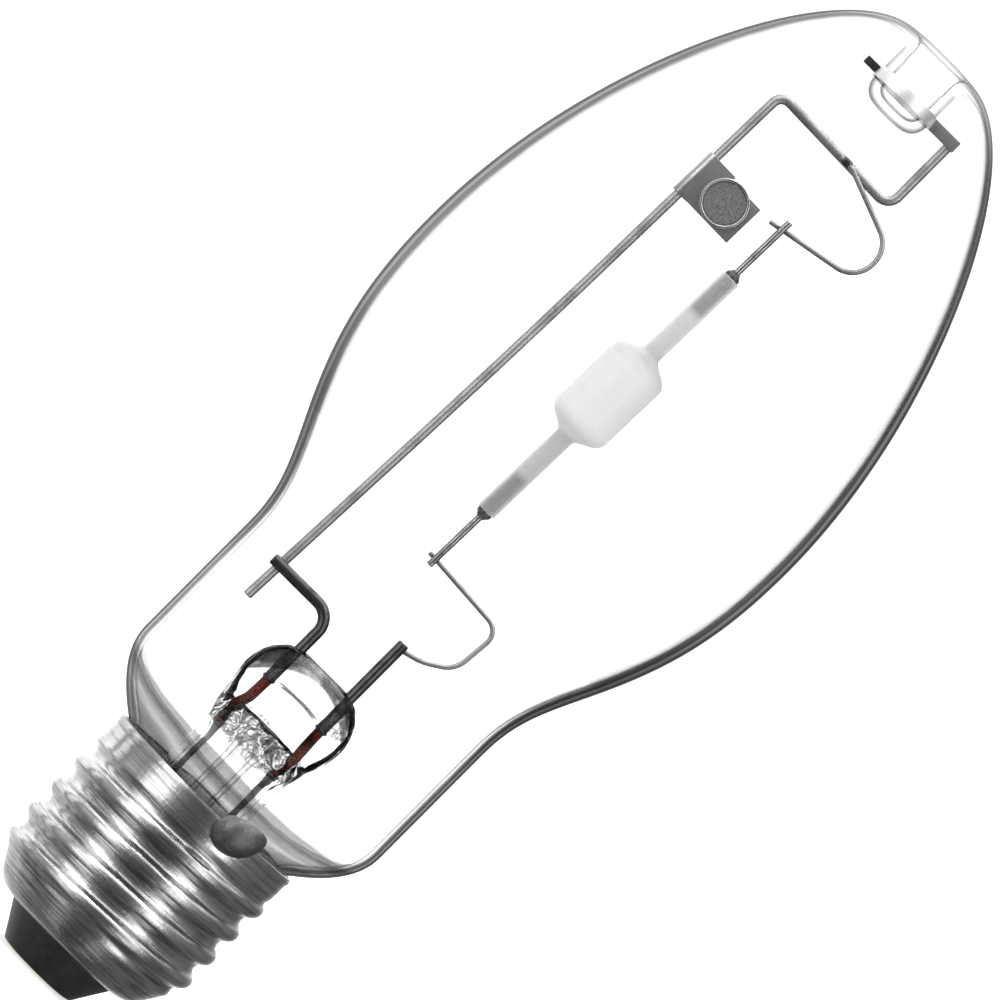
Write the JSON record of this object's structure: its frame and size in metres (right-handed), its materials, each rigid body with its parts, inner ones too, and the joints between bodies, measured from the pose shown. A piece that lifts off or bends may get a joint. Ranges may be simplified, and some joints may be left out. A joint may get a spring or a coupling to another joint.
{
  "type": "metal halide lamp",
  "caption": "Clear elliptical discharge lamp: ceramic arc tube on a bent wire frame with a getter, glass stem and dimpled crown, on a large screw cap.",
  "frame": {"origin": "middle of the flat contact face at the foot of the cap", "axes": "+Z along the lamp's axis from the cap to the crown; -Y is the side that the getter and the side solder face"},
  "size_m": [0.055, 0.055, 0.14],
  "materials": {
    "bulb_glass": "clear blown glass",
    "stem_glass": "clear pressed glass",
    "insulator_glass": "black moulded glass",
    "cap_metal": "nickel-plated rolled sheet",
    "contact_metal": "stamped plate",
    "solder": "dull solder",
    "cement": "fired cement",
    "lead_wire": "dark drawn wire",
    "outer_wire": "bright drawn wire",
    "seal_wire": "borated copper-clad wire",
    "frame_metal": "drawn wire",
    "strip_metal": "rolled strip",
    "getter": "pressed powder",
    "arc_ceramic": "translucent fired ceramic",
    "frit": "melted sealing glass",
    "niobium": "drawn wire",
    "tungsten": "drawn wire"
  },
  "bodies": {
    "root": {"outer_bulb": "bulb_glass", "stem": "stem_glass", "exhaust_tube": "stem_glass", "cap_shell": "cap_metal", "cap_insulator": "insulator_glass", "centre_contact": "contact_metal", "contact_solder": "solder", "side_solder": "solder", "basing_cement": "cement", "frame_support_lead": "lead_wire", "strap_support_lead": "lead_wire", "frame_seal_wire": "seal_wire", "strap_seal_wire": "seal_wire", "frame_outer_lead": "outer_wire", "strap_outer_lead": "outer_wire", "frame_wire": "frame_metal", "upper_strap": "frame_metal", "lower_strap": "frame_metal", "dimple_clip": "strip_metal", "getter_flag": "strip_metal", "getter_disc": "getter", "arc_tube": "arc_ceramic", "upper_frit": "frit", "lower_frit": "frit", "upper_niobium_lead": "niobium", "lower_niobium_lead": "niobium", "upper_electrode": "tungsten", "lower_electrode": "tungsten", "upper_electrode_coil": "tungsten", "lower_electrode_coil": "tungsten"}
  },
  "joints": []
}
